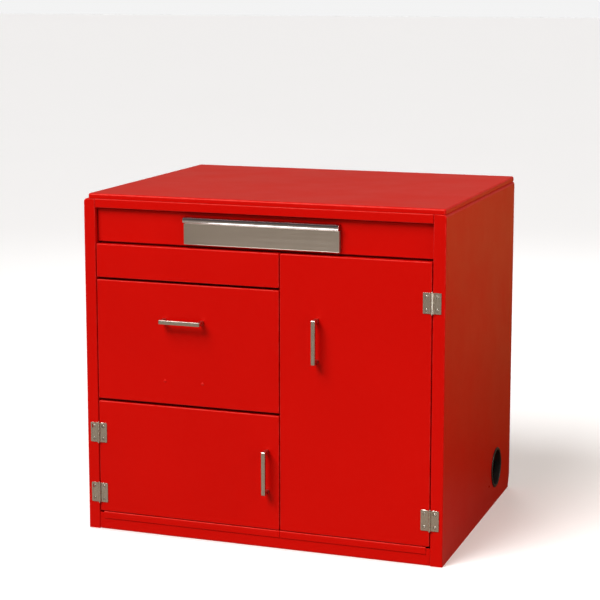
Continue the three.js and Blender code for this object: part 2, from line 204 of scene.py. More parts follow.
def blend(tree, share, low, high):
    """Between two colours by a mask."""
    mix = put(tree, "ShaderNodeMix", data_type="RGBA")
    factor, first, second = mix.inputs[0], mix.inputs[6], mix.inputs[7]
    for socket, value in ((factor, share), (first, low), (second, high)):
        if isinstance(value, bpy.types.NodeSocket):
            tree.links.new(value, socket)
        else:
            socket.default_value = value
    return mix.outputs[2]


def bump(tree, shader, height, depth):
    """Raises the surface by a height map, depth metres from its lowest to its highest."""
    node = put(tree, "ShaderNodeBump", {"Height": height, "Distance": depth})
    tree.links.new(node.outputs["Normal"], shader["Normal"])


def powder_coat(name, bright, deep, gloss, wear):
    """Baked red powder coat: uneven depth of colour, orange peel, thin along the folds."""
    material, tree, shader, where = principled(
        name, Specular_IOR_Level=0.25, Specular_Tint=(1.0, 0.35, 0.25, 1.0),
    )
    depth = use(tree, CLOUDS, coordinates=where, scale=2.3)["Mask"]
    worn = use(tree, BEND_WEAR, coordinates=where, amount=wear, patches=70.0)["Mask"]
    coat = blend(tree, depth, deep, bright)
    thin_coat = (min(bright[0] * 1.25, 1.0), bright[1] + 0.05, bright[2] + 0.045, 1.0)
    tree.links.new(blend(tree, worn, coat, thin_coat), shader["Base Color"])
    sheen = use(tree, CLOUDS, coordinates=where, scale=9.0, low=gloss, high=gloss + 0.08)["Mask"]
    tree.links.new(sheen, shader["Roughness"])
    peel = use(tree, ORANGE_PEEL, coordinates=where, dimples=190.0, grit=0.06)["Height"]
    bump(tree, shader, peel, 0.00003)
    return material


def zinc_plate():
    """Bright zinc on cold-rolled steel, with a faint spangle and rolling lines."""
    material, tree, shader, where = principled("zinc_plate", Metallic=1.0)
    spangle = put(tree, "ShaderNodeTexVoronoi", {"Vector": where, "Scale": 60.0}).outputs["Color"]
    facets = put(tree, "ShaderNodeRGBToBW", {"Color": spangle}).outputs[0]
    zinc = blend(tree, facets, (0.50, 0.51, 0.53, 1), (0.64, 0.65, 0.66, 1))
    tree.links.new(zinc, shader["Base Color"])
    lines = use(tree, BRUSHED_LINES, coordinates=where, stretch=(1, 0.03, 1), fineness=900.0)
    tree.links.new(spread(tree, lines["Streak"], 0.0, 1.0, 0.36, 0.43), shader["Roughness"])
    bump(tree, shader, lines["Height"], 0.0000025)
    return material


def satin_nickel(name, stretch):
    """Satin nickel over steel, brushed along the piece."""
    material, tree, shader, where = principled(name, Metallic=1.0)
    lines = use(tree, BRUSHED_LINES, coordinates=where, stretch=stretch, fineness=1400.0)
    haze = use(tree, CLOUDS, coordinates=where, scale=60.0, low=0.0, high=0.6)["Mask"]
    nickel = blend(tree, haze, (0.54, 0.50, 0.44, 1), (0.45, 0.41, 0.36, 1))
    tree.links.new(nickel, shader["Base Color"])
    tree.links.new(spread(tree, lines["Streak"], 0.0, 1.0, 0.2, 0.34), shader["Roughness"])
    bump(tree, shader, lines["Height"], 0.00001)
    return material


def stainless(nose_low):
    """Brushed stainless steel, polished above nose_low where the nose is rolled."""
    material, tree, shader, where = principled("brushed_stainless", Metallic=1.0)
    lines = use(tree, BRUSHED_LINES, coordinates=where, stretch=(0.012, 1, 1), fineness=1700.0)
    haze = use(tree, CLOUDS, coordinates=where, scale=7.0)["Mask"]
    height = put(tree, "ShaderNodeSeparateXYZ", {"Vector": where}).outputs["Z"]
    polished = spread(tree, height, nose_low, nose_low + 0.001)
    plate = blend(tree, haze, (0.54, 0.49, 0.44, 1), (0.46, 0.415, 0.37, 1))
    tree.links.new(blend(tree, polished, plate, (0.6, 0.58, 0.6, 1)), shader["Base Color"])
    satin = spread(tree, lines["Streak"], 0.0, 1.0, 0.3, 0.42)
    tree.links.new(spread(tree, polished, 0.0, 1.0, satin, 0.12), shader["Roughness"])
    bump(tree, shader, lines["Height"], 0.000008)
    return material


def moulded_black():
    """Black moulded plastic with a fine skin, dusty in patches."""
    material, tree, shader, where = principled("moulded_black", Specular_IOR_Level=0.45)
    dust = use(tree, CLOUDS, coordinates=where, scale=40.0, low=0.0, high=0.35)["Mask"]
    black = blend(tree, dust, (0.012, 0.011, 0.012, 1), (0.05, 0.045, 0.043, 1))
    tree.links.new(black, shader["Base Color"])
    sheen = use(tree, CLOUDS, coordinates=where, scale=25.0, low=0.3, high=0.5)["Mask"]
    tree.links.new(sheen, shader["Roughness"])
    skin = use(tree, ORANGE_PEEL, coordinates=where, dimples=1500.0)["Height"]
    bump(tree, shader, skin, 0.00003)
    return material


def floor_colour(tree, where, depth, seen):
    """Pale to the eye; what it throws back is dim, and warm behind the cart, so the red stays deep."""
    tone = use(tree, CLOUDS, coordinates=where, scale=0.7)["Mask"]
    pale = blend(tree, tone, (0.84, 0.84, 0.84, 1), (0.86, 0.86, 0.86, 1))
    behind = spread(tree, depth, -0.3, 0.5)
    far = spread(tree, depth, 1.5, 5.5)
    warm = blend(tree, far, (0.13, 0.075, 0.018, 1), (0.42, 0.25, 0.07, 1))
    dim = blend(tree, behind, (0.33, 0.28, 0.22, 1), warm)
    return blend(tree, seen, dim, pale)


def floor_glow(tree, ground, seen):
    """A little light of the floor's own, except under the cart, where gaps would show it."""
    half_width, half_depth = 0.466, 0.36
    across = reckon(tree, "ABSOLUTE", ground["X"])
    along = reckon(tree, "ABSOLUTE", ground["Y"])
    beside = reckon(tree, "GREATER_THAN", across, half_width)
    before = reckon(tree, "GREATER_THAN", along, half_depth)
    clear = reckon(tree, "MAXIMUM", beside, before)
    bright = reckon(tree, "MULTIPLY", seen, clear)
    return blend(tree, bright, (0, 0, 0, 1), (0.22, 0.22, 0.22, 1))


def floor_finish():
    """Plain pale studio floor."""
    material, tree, shader, where = principled(
        "pale_floor", Roughness=0.6, Specular_IOR_Level=0.2, Emission_Strength=1.0,
    )
    ground = put(tree, "ShaderNodeSeparateXYZ", {"Vector": where}).outputs
    seen = put(tree, "ShaderNodeLightPath").outputs["Is Camera Ray"]
    tree.links.new(floor_colour(tree, where, ground["Y"], seen), shader["Base Color"])
    tree.links.new(floor_glow(tree, ground, seen), shader["Emission Color"])
    return material


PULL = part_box("top_drawer_pull")
NOSE = 0.008  # radius of the pull's rolled nose

RED = powder_coat(
    "red_coat", bright=(0.58, 0.0022, 0.0010, 1), deep=(0.53, 0.0018, 0.0008, 1), gloss=0.27, wear=0.28,
)
DULL_RED = powder_coat(
    "thin_red_coat", bright=(0.52, 0.012, 0.009, 1), deep=(0.42, 0.01, 0.008, 1), gloss=0.42, wear=0.2,
)
ZINC = zinc_plate()
NICKEL_UPRIGHT = satin_nickel("satin_nickel_upright", (1, 1, 0.03))
NICKEL_LEVEL = satin_nickel("satin_nickel_level", (0.03, 1, 1))
STAINLESS = stainless(PULL[1].z - 2 * NOSE)
BLACK = moulded_black()


# ---------------------------------------------------------------- shaping

def block(bm, lo, hi):
    """A closed box."""
    lo, hi = Vector(lo), Vector(hi)
    place = Matrix.Translation((lo + hi) / 2) @ Matrix.Diagonal((*(hi - lo), 1))
    bmesh.ops.create_cube(bm, size=1, matrix=place)


def verts_in(geometry):
    return [part for part in geometry if isinstance(part, bmesh.types.BMVert)]


def edges_in(geometry):
    return [part for part in geometry if isinstance(part, bmesh.types.BMEdge)]


def lies_at(part, planes):
    """Whether all of an edge or face is in every plane given."""
    near = 1e-6
    return all(
        abs(vert.co["xyz".index(axis)] - place) < near
        for vert in part.verts for axis, place in planes.items()
    )


def edges_at(bm, **planes):
    """Edges that lie wholly in every plane given, such as x=0.1."""
    return [edge for edge in bm.edges if lies_at(edge, planes)]


def faces_at(bm, **planes):
    """Faces that lie wholly in every plane given."""
    return [face for face in bm.faces if lies_at(face, planes)]


def edges_along(bm, axis):
    """Straight edges that run along an axis."""
    i, straight = "xyz".index(axis), 0.999
    return [
        edge for edge in bm.edges
        if abs((edge.verts[0].co - edge.verts[1].co).normalized()[i]) > straight
    ]


def bevel(bm, geometry, radius, steps=STEPS, affect="EDGES"):
    """Rounds edges or corners to a radius."""
    bmesh.ops.bevel(
        bm, geom=geometry, offset=radius, offset_type="OFFSET", segments=steps,
        profile=0.5, affect=affect, clamp_overlap=True, material=-1,
    )


def remove(bm, faces):
    bmesh.ops.delete(bm, geom=faces, context="FACES")


def ring_of(faces):
    """The edges around a group of faces."""
    edges = dict.fromkeys(edge for face in faces for edge in face.edges)
    return [edge for edge in edges if sum(face in faces for face in edge.link_faces) == 1]


def split_off(bm, lo, hi):
    """Splits the faces of a sheet along the sides of a box; returns those inside it."""
    def touches(face):
        corners = [vert.co for vert in face.verts]
        return all(
            min(c[i] for c in corners) < hi[i] and max(c[i] for c in corners) > lo[i] for i in range(3)
        )

    for axis in range(3):
        normal = Vector([float(axis == i) for i in range(3)])
        for limit in (lo[axis], hi[axis]):
            faces = [face for face in bm.faces if touches(face)]
            parts = dict.fromkeys(part for face in faces for part in (*face.edges, *face.verts))
            bmesh.ops.bisect_plane(
                bm, geom=[*faces, *parts], plane_co=normal * limit, plane_no=normal,
            )
    return [
        face for face in bm.faces
        if all(lo[i] < face.calc_center_median()[i] < hi[i] for i in range(3))
    ]


def cut_out(bm, lo, hi):
    """Removes the part of a sheet that is inside a box."""
    remove(bm, split_off(bm, lo, hi))


def open_edges_in(bm, lo, hi):
    """Open edges of a sheet that lie in a box."""
    slack = 1e-5
    return [
        edge for edge in bm.edges if edge.is_boundary and all(
            lo[i] - slack < vert.co[i] < hi[i] + slack for vert in edge.verts for i in range(3)
        )
    ]


def round_hole(bm, centre, axis, radius, steps=32):
    """Cuts a round hole through a flat sheet that lies across an axis."""
    centre = Vector(centre)
    half = Vector([radius * 1.4] * 3)
    half[axis] = 1e-4
    lo, hi = centre - half, centre + half
    cut_out(bm, lo, hi)
    square = open_edges_in(bm, lo, hi)
    split = bmesh.ops.subdivide_edges(bm, edges=square, cuts=steps // 4 - 1)["geom_split"]
    rim = bmesh.ops.extrude_edge_only(bm, edges=edges_in(split))["geom"]
    for vert in verts_in(rim):
        vert.co = centre + (vert.co - centre).normalized() * radius


ALONG_X = Matrix(((0, 0, 1, 0), (1, 0, 0, 0), (0, 1, 0, 0), (0, 0, 0, 1)))  # section in Y and Z
ALONG_Y = Matrix(((1, 0, 0, 0), (0, 0, 1, 0), (0, 1, 0, 0), (0, 0, 0, 1)))  # section in X and Z
ALONG_Z = Matrix.Identity(4)  # section in X and Y


def strip(bm, points, along, start, end, radius=BEND - HALF):
    """A strip of sheet folded square at each inner point of its middle line."""
    verts = [bm.verts.new(along @ Vector((u, v, start))) for u, v in points]
    line = [bm.edges.new(pair) for pair in zip(verts, verts[1:])]
    run = bmesh.ops.extrude_edge_only(bm, edges=line)["geom"]
    bmesh.ops.translate(bm, verts=verts_in(run), vec=along.to_3x3() @ Vector((0, 0, end - start)))
    folds = [edge for edge in bm.edges if len(edge.link_faces) == 2]
    bevel(bm, folds, radius)


def outline(bm, points, along, start, end, rounds=()):
    """A closed solid from an outline; rounds gives (corner numbers, radius) pairs."""
    verts = [bm.verts.new(along @ Vector((u, v, start))) for u, v in points]
    bm.faces.new(verts)
    for corners, radius in rounds:
        bevel(bm, [verts[i] for i in corners], radius, affect="VERTICES")
    bmesh.ops.remove_doubles(bm, verts=bm.verts, dist=2e-5)
    run = bmesh.ops.extrude_face_region(bm, geom=bm.faces[:], use_keep_orig=True)["geom"]
    bmesh.ops.translate(bm, verts=verts_in(run), vec=along.to_3x3() @ Vector((0, 0, end - start)))
    bmesh.ops.recalc_face_normals(bm, faces=bm.faces)


def turned(bm, points, place, steps=32):
    """A turned piece: a profile of (radius, height) points spun round its own Z and placed."""
    closed = points[0] == points[-1]
    verts = [bm.verts.new(place @ Vector((radius, 0, height))) for radius, height in points[closed:]]
    line = [bm.edges.new(pair) for pair in zip(verts, verts[1:] + verts[:closed])]
    bmesh.ops.spin(
        bm, geom=[*verts, *line], cent=place.translation,
        axis=place.to_3x3() @ Vector((0, 0, 1)), angle=math.tau, steps=steps, use_merge=True,
    )
    bmesh.ops.remove_doubles(bm, verts=bm.verts, dist=1e-7)


def screw_head(bm, place, radius, rise, depth=0.0006):
    """A low head with a cross recess, its axis along the place's Z."""
    arm, slot = radius * 0.52, radius * 0.13
    quarter = [(arm, -slot), (arm, slot), (slot, slot)]
    turns = [Matrix.Rotation(math.pi / 2 * k, 4, "Z") for k in range(4)]
    cross = bm.faces.new([
        bm.verts.new(place @ turn @ Vector((x, y, rise))) for turn in turns for x, y in quarter
    ])
    rim = bmesh.ops.create_circle(bm, segments=24, radius=radius, matrix=place)["verts"]
    rim_edges = list(dict.fromkeys(edge for vert in rim for edge in vert.link_edges))
    crown = bmesh.ops.bridge_loops(bm, edges=rim_edges + list(cross.edges))["edges"]
    bmesh.ops.subdivide_edges(bm, edges=crown, cuts=1)
    axis = place.to_3x3() @ Vector((0, 0, 1))
    sunk = bmesh.ops.extrude_discrete_faces(bm, faces=[cross])["faces"][0]
    bmesh.ops.translate(bm, verts=sunk.verts, vec=-axis * (rise + depth * 0.8))
    about = Matrix.Translation(-sunk.calc_center_median())
    bmesh.ops.scale(bm, verts=sunk.verts, vec=(0.7, 0.7, 0.7), space=about)
    side = bmesh.ops.extrude_edge_only(bm, edges=rim_edges)["geom"]
    low = verts_in(side)
    bmesh.ops.translate(bm, verts=low, vec=-axis * depth * 2)
    bm.faces.new(sort_ring(low, place))


def sort_ring(verts, place):
    """Puts the vertices of a ring in order round the place's Z."""
    back = place.inverted()
    return sorted(verts, key=lambda vert: math.atan2((back @ vert.co).y, (back @ vert.co).x))


def facing(direction, at):
    """A place whose Z points along a direction."""
    return Matrix.Translation(at) @ Vector(direction).to_track_quat("Z", "Y").to_matrix().to_4x4()


def mark_crests(bm):
    """Stores how far each point is on the crest of a fold, for the wear on it."""
    crest = bm.verts.layers.float.new("crest")
    for vert in bm.verts:
        widths = [
            face.calc_area() / max(edge.calc_length() for edge in face.edges)
            for face in vert.link_faces
        ]
        vert[crest] = float(bool(widths) and max(widths) < BEND)


def piece(name, bm, material, body, replaces=(), wall=0.0, offset=-1.0, eased=EASED, even=True):
    """Finishes a mesh: outward faces, sheet thickness, eased edges, even shading, its material and its
    body.
    """
    bmesh.ops.recalc_face_normals(bm, faces=bm.faces)
    mark_crests(bm)
    mesh = bpy.data.meshes.new(name)
    bm.to_mesh(mesh)
    bm.free()
    mesh.shade_smooth()
    mesh.materials.append(material)
    made = bpy.data.objects.new(name, mesh)
    bpy.context.scene.collection.objects.link(made)
    if wall:
        solid = made.modifiers.new("thickness", "SOLIDIFY")
        solid.thickness = wall
        solid.offset = offset
        solid.use_even_offset = even
    if eased:
        ease = made.modifiers.new("eased_edges", "BEVEL")
        ease.width = eased
        ease.segments = 2
        ease.limit_method = "ANGLE"
        ease.angle_limit = math.radians(40)
    shading = made.modifiers.new("even_shading", "WEIGHTED_NORMAL")
    shading.keep_sharp = True
    if replaces:
        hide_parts(*replaces)
    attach(made, body)


# ---------------------------------------------------------------- cabinet

RETURN = 0.04  # how far a front post folds back
REAR_RETURN = 0.03
FLANGE = 0.031  # flanges round the mouth of a side tray
TOP_CORNER = 0.009  # radius along the top outer edge of a side
POST_CORNER = 0.003  # radius round the face of a front post
CLIP_RUN, CLIP_RISE = 0.016, 0.042  # cut corner at the foot of the rear edge
CORD_HOLE = 0.049  # radius
SKIN = 1e-4  # half depth of a box that cuts one sheet only


def clip_foot(bm, lo, hi):
    """Cuts the rear corner at the foot off a side tray and closes the cut."""
    cut = bmesh.ops.bisect_plane(
        bm, geom=[*bm.verts, *bm.edges, *bm.faces], plane_co=(0, hi.y - CLIP_RUN, lo.z),
        plane_no=(0, CLIP_RISE, -CLIP_RUN), clear_outer=True,
    )["geom_cut"]
    bmesh.ops.contextual_create(bm, geom=edges_in(cut))


def rear_folds(bm, inner, rear):
    """The edges a side tray is folded along at the back; the open side and the clip stay sharp."""
    unfolded = edges_at(bm, x=inner, y=rear) + edges_at(bm, y=rear, z=CLIP_RISE)
    return [edge for edge in ring_of(faces_at(bm, y=rear)) if edge not in unfolded]


def side_panel(name, sign):
    """Folded side tray: skin, front post and flanges; sign is +1 on the right."""
    bm = bmesh.new()
    lo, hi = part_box(name)
    outer, inner = (hi.x, lo.x) if sign > 0 else (lo.x, hi.x)
    block(bm, lo, hi)
    clip_foot(bm, lo, hi)
    bevel(bm, edges_at(bm, x=outer, z=hi.z), TOP_CORNER, steps=7)
    foot = edges_at(bm, z=lo.z)
    post = [edge for edge in ring_of(faces_at(bm, y=lo.y)) if edge not in foot]
    bevel(bm, post, POST_CORNER)
    bevel(bm, rear_folds(bm, inner, hi.y), BEND)
    mouth_lo = Vector((inner - SKIN, lo.y + RETURN, lo.z + FLANGE))
    mouth_hi = Vector((inner + SKIN, hi.y - REAR_RETURN, hi.z - FLANGE))
    cut_out(bm, mouth_lo, mouth_hi)
    if sign > 0:
        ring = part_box("cord_grommet")
        centre = (ring[0] + ring[1]) / 2
        round_hole(bm, (outer, centre.y, centre.z), 0, CORD_HOLE, steps=48)
    piece(name + "_tray", bm, RED, "cabinet", [name], wall=SHEET)


side_panel("left_side_panel", -1)
side_panel("right_side_panel", 1)


def lid():
    """Pressed lid with a soft edge all round."""
    bm = bmesh.new()
    lo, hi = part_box("top_panel")
    corner, rim = 0.006, 0.005
    block(bm, lo, hi)
    bevel(bm, edges_along(bm, "z"), corner)
    bevel(bm, ring_of(faces_at(bm, z=hi.z)), rim, steps=6)
    remove(bm, faces_at(bm, z=lo.z))
    piece("lid", bm, RED, "cabinet", ["top_panel"], wall=SHEET)


lid()


def back_pan():
    """Back of the cabinet, its edges folded forwards."""
    bm = bmesh.new()
    lo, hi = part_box("back_panel")
    block(bm, lo, hi)
    bevel(bm, ring_of(faces_at(bm, y=hi.y)), BEND)
    remove(bm, faces_at(bm, y=lo.y))
    piece("back_pan", bm, RED, "cabinet", ["back_panel"], wall=SHEET)


back_pan()


def top_rail():
    """Rail over the top drawer, with a hemmed flange below."""
    bm = bmesh.new()
    lo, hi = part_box("top_rail")
    flange, hem = 0.016, 0.01
    face = lo.y + HALF
    strip(bm, [
        (hi.y, hi.z - HALF), (face, hi.z - HALF), (face, lo.z + HALF),
        (lo.y + flange, lo.z + HALF), (lo.y + flange, lo.z + hem),
    ], ALONG_X, lo.x, hi.x)
    piece("front_rail", bm, RED, "cabinet", ["top_rail"], wall=SHEET, offset=0)


top_rail()


def kick_rail():
    """Kick rail, lower between its two ends to clear the floor's lip."""
    bm = bmesh.new()
    lo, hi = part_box("kick_rail")
    end_width, low = 0.011, 0.028
    face, foot = lo.y + HALF, lo.z + HALF
    strip(bm, [(face, hi.z), (face, foot), (hi.y, foot)], ALONG_X, lo.x, hi.x)
    gap_lo = Vector((lo.x + end_width, lo.y - HALF, lo.z + low))
    gap_hi = Vector((hi.x - end_width, lo.y + 2 * SHEET, hi.z + HALF))
    cut_out(bm, gap_lo, gap_hi)
    piece("kick_plate", bm, RED, "cabinet", ["kick_rail"], wall=SHEET, offset=0)


kick_rail()


def floor_panel(name, sign):
    """Compartment floor with a lip at the front; sign is +1 for the right compartment."""
    bm = bmesh.new()
    lo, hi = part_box(name)
    lip_drop, lip_inset, clearance = 0.0175, 0.0107, 0.001
    top = lo.z + lip_drop
    front, rear, level = lo.y + HALF, hi.y - HALF, top - HALF
    strip(bm, [(front, lo.z), (front, level), (rear, level), (rear, hi.z)], ALONG_X, lo.x, hi.x)
    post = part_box("right_side_panel")[0].x - lip_inset
    start, end = (post, hi.x + HALF) if sign > 0 else (lo.x - HALF, -post)
    notch_lo = Vector((start, lo.y - HALF, lo.z - HALF))
    notch_hi = Vector((end, lo.y + RETURN + clearance, top + HALF))
    cut_out(bm, notch_lo, notch_hi)
    piece(name + "_sheet", bm, RED, "cabinet", [name], wall=SHEET, offset=0)


floor_panel("left_floor_panel", -1)
floor_panel("right_floor_panel", 1)


def partition():
    """Centre partition, folded round to make its front post."""
    bm = bmesh.new()
    lo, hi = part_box("centre_partition")
    post_depth, below_bend = 0.03, 0.0011
    left, right, front = lo.x + HALF, hi.x - HALF, lo.y + HALF
    strip(bm, [
        (left, hi.y), (left, front), (right, front), (right, lo.y + post_depth),
    ], ALONG_Z, lo.z, hi.z - below_bend)
    piece("partition", bm, DULL_RED, "cabinet", ["centre_partition"], wall=SHEET, offset=0)


partition()


def left_liner():
    """Liner between the left side tray and the drawers, with pressed stiffening beads."""
    bm = bmesh.new()
    lo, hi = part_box("left_liner")
    block(bm, lo, hi)
    width, margin, slope, depth = 0.024, 0.05, 0.004, 0.0008
    for z in (0.12, 0.2, 0.28, 0.52, 0.6):
        low = Vector((hi.x - SKIN, lo.y + margin, z))
        high = Vector((hi.x + SKIN, hi.y - margin, z + width))
        bead = split_off(bm, low, high)
        bmesh.ops.inset_region(bm, faces=bead, thickness=slope, depth=-depth)
    piece("liner", bm, DULL_RED, "cabinet", ["left_liner"])


left_liner()


def slide_bracket():
    """Channel that carries the top drawer's right slide."""
    bm = bmesh.new()
    lo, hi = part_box("right_slide_bracket")
    web, low, high = hi.x - HALF, lo.z + HALF, hi.z - HALF
    strip(bm, [(lo.x, low), (web, low), (web, high), (lo.x, high)], ALONG_Y, lo.y, hi.y)
    piece("slide_bracket", bm, ZINC, "cabinet", ["right_slide_bracket"], wall=SHEET, offset=0)


slide_bracket()


def flanged_sheet(name, new_name, slot=None):
    """A sheet with its four edges folded down, cut out round a slot if one is given."""
    bm = bmesh.new()
    lo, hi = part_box(name)
    block(bm, lo, hi)
    bevel(bm, ring_of(faces_at(bm, z=hi.z)), BEND)
    remove(bm, faces_at(bm, z=lo.z))
    if slot:
        cut_out(bm, *slot)
    piece(new_name, bm, DULL_RED, "cabinet", [name], wall=SHEET)


def deck():
    """Deck under the top drawer; its flanges are slotted over the partition."""
    lo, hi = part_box("drawer_deck")
    web_lo, web_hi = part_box("centre_partition")
    beside, beyond, under = 0.0006, 0.001, 0.0002
    slot_lo = Vector((web_lo.x - beside, lo.y - beyond, lo.z - beyond))
    slot_hi = Vector((web_hi.x + beside, hi.y + beyond, hi.z - BEND - under))
    flanged_sheet("drawer_deck", "deck", (slot_lo, slot_hi))


deck()
flanged_sheet("drawer_shelf", "shelf")


def grommet():
    """Ring pressed into the cord hole, with a rounded flange outside."""
    bm = bmesh.new()
    lo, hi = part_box("cord_grommet")
    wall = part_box("right_side_panel")[1].x
    centre = (lo + hi) / 2
    place = facing((1, 0, 0), (wall, centre.y, centre.z))
    inner, hole, flange = 0.046, 0.0487, (hi.z - lo.z) / 2
    back, touch, proud = wall - lo.x, 0.0003, hi.x - wall
    turned(bm, [
        (inner, -back), (hole, -back), (hole, touch), (flange, touch), (flange, proud * 0.45),
        (flange - 0.0012, proud * 0.85), (flange - 0.003, proud), (inner + 0.002, proud),
        (inner + 0.0006, proud - 0.0006), (inner, proud - 0.002), (inner, -back),
    ], place, steps=64)
    piece("cord_hole_grommet", bm, BLACK, "cabinet", ["cord_grommet"], eased=0)


grommet()


# ---------------------------------------------------------------- doors and drawer fronts

def pan(name, body):
    """Door or drawer front: a shallow pan with rounded front edges, open at the back."""
    bm = bmesh.new()
    lo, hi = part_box(name)
    block(bm, lo, hi)
    bevel(bm, ring_of(faces_at(bm, y=lo.y)) + edges_along(bm, "y"), BEND)
    remove(bm, faces_at(bm, y=hi.y))
    piece(name + "_skin", bm, RED, body, [name], wall=SHEET)


DRAWERS = "top_drawer", "slim_drawer", "deep_drawer"

for door in ("left_door", "right_door"):
    pan(door + "_pan", door)
for drawer in DRAWERS:
    pan(drawer + "_front", drawer)

LINER_FIELD = 0.0008  # depth of the pressed field of a door liner


def door_liner(name, body):
    """Back sheet of a door, with a pressed field that stiffens it."""
    bm = bmesh.new()
    lo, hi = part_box(name)
    border, slope = 0.032, 0.004
    block(bm, lo, hi)
    field = faces_at(bm, y=hi.y)
    bmesh.ops.inset_region(bm, faces=field, thickness=border, use_even_offset=True)
    bmesh.ops.inset_region(bm, faces=field, thickness=slope, use_even_offset=True, depth=-LINER_FIELD)
    piece(name + "_sheet", bm, DULL_RED, body, [name])


door_liner("left_door_liner", "left_door")
door_liner("right_door_liner", "right_door")


# ---------------------------------------------------------------- handles

BAR = 0.008  # depth of the bar of a handle
LEG = 0.009  # width of its legs


def bar_handle(name, body, upright):
    """Square-edged bar with both ends turned back to the door."""
    bm = bmesh.new()
    lo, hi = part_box(name)
    start, end = (lo.z, hi.z) if upright else (lo.x, hi.x)
    grip = lo.y + BAR
    points = [
        (hi.y, start), (lo.y, start), (lo.y, end), (hi.y, end),
        (hi.y, end - LEG), (grip, end - LEG), (grip, start + LEG), (hi.y, start + LEG),
    ]
    rounds = (((1, 2), 0.003), ((5, 6), 0.002))  # outer and inner corners
    if upright:
        outline(bm, points, ALONG_X, lo.x, hi.x, rounds)
    else:
        outline(bm, [(along, depth) for depth, along in points], ALONG_Z, lo.z, hi.z, rounds)
    nickel = NICKEL_UPRIGHT if upright else NICKEL_LEVEL
    piece(name + "_bar", bm, nickel, body, [name], eased=0.0009)


bar_handle("right_door_handle", "right_door", True)
bar_handle("left_door_handle", "left_door", True)
bar_handle("deep_drawer_handle", "deep_drawer", False)


def drawer_pull():
    """Stainless pull: a stood-off plate under a rolled nose, closed at both ends."""
    bm = bmesh.new()
    lo, hi = PULL
    standoff, foot_corner, end_corner = 0.012, 0.002, 0.0012
    plate, under = hi.y - standoff, hi.z - 2 * NOSE
    outline(bm, [
        (hi.y, lo.z), (plate, lo.z), (plate, under), (lo.y, under), (lo.y, hi.z), (hi.y, hi.z),
    ], ALONG_X, lo.x, hi.x, (((1,), foot_corner), ((3, 4), NOSE * 0.999)))
    ends = ring_of(faces_at(bm, x=lo.x)) + ring_of(faces_at(bm, x=hi.x))
    rear = edges_at(bm, y=hi.y)
    bevel(bm, [edge for edge in ends if edge not in rear], end_corner, steps=4)
    remove(bm, faces_at(bm, y=hi.y))
    piece("drawer_pull", bm, STAINLESS, "top_drawer", ["top_drawer_pull"], wall=THIN, eased=0)


drawer_pull()


# ---------------------------------------------------------------- hinges

BARREL = 0.0033  # radius over the knuckles
ROLL = 0.0013  # thickness of a leaf
LEAF = 0.0508  # height of a leaf
LEAF_CORNER = 0.0016
KNUCKLES = 5
WRAP = math.radians(290)  # how far a knuckle goes round the pin
SLACK = 0.00035  # between one knuckle and the next
SCREW_END = 0.0095  # hinge screws, from the end of the leaf
SCREW_REACH = 0.013  # and from the pin
COUNTERSINK = 0.0041  # radius of a screw's hole in the leaf


def roll_knuckle(bm, edge, pin, towards):
    """Draws one edge of a leaf out to the pin and rolls it round."""
    tab = bmesh.ops.extrude_edge_only(bm, edges=[edge])["geom"]
    tips = verts_in(tab)
    centre = (tips[0].co.z + tips[1].co.z) / 2
    for vert in tips:
        vert.co.x = pin.x
        vert.co.z -= math.copysign(SLACK / 2, vert.co.z - centre)
    lip = [part for part in edges_in(tab) if set(part.verts) == set(tips)]
    bmesh.ops.spin(bm, geom=[*lip, *tips], cent=pin, axis=(0, 0, towards), angle=WRAP, steps=16)


def leaf_screws(name, body, places, face):
    """The screws of one leaf, their heads a little proud of it."""
    heads = bmesh.new()
    for x, z in places:
        screw_head(heads, facing((0, -1, 0), (x, face, z)), radius=0.0038, rise=0.0011)
    piece(name + "_screws", heads, NICKEL_UPRIGHT, body, eased=0)


def hinge_leaf(name, body, towards, parity):
    """A leaf whose knuckles are rolled round the pin; towards is +1 if it lies to the pin's right."""
    bm = bmesh.new()
    lo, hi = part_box(name)
    low = (lo.z + hi.z - LEAF) / 2
    top, pitch = low + LEAF, LEAF / KNUCKLES
    far_x, pin_x = (hi.x, lo.x + BARREL) if towards > 0 else (lo.x, hi.x - BARREL)
    pin = Vector((pin_x, hi.y - BARREL, low))
    near_x = pin.x + towards * (BARREL + SLACK)
    middle = hi.y - ROLL / 2
    corners = [bm.verts.new(point) for point in (
        (far_x, middle, low), (far_x, middle, top), (near_x, middle, top), (near_x, middle, low),
    )]
    bm.faces.new(corners)
    bevel(bm, corners[:2], LEAF_CORNER, steps=3, affect="VERTICES")
    bmesh.ops.subdivide_edges(bm, edges=edges_at(bm, x=near_x), cuts=KNUCKLES - 1)
    own = [
        edge for edge in edges_at(bm, x=near_x)
        if int(((edge.verts[0].co.z + edge.verts[1].co.z) / 2 - low) / pitch) % 2 == parity
    ]
    for edge in own:
        roll_knuckle(bm, edge, pin, towards)
    bmesh.ops.remove_doubles(bm, verts=bm.verts, dist=1e-6)
    screws = [(pin.x + towards * SCREW_REACH, z) for z in (low + SCREW_END, top - SCREW_END)]
    for x, z in screws:
        round_hole(bm, (x, middle, z), 1, COUNTERSINK, steps=24)
    piece(
        name + "_plate", bm, NICKEL_UPRIGHT, body, [name],
        wall=ROLL, offset=0, eased=0.00015, even=False,
    )
    leaf_screws(name, body, screws, hi.y - ROLL * 0.9)


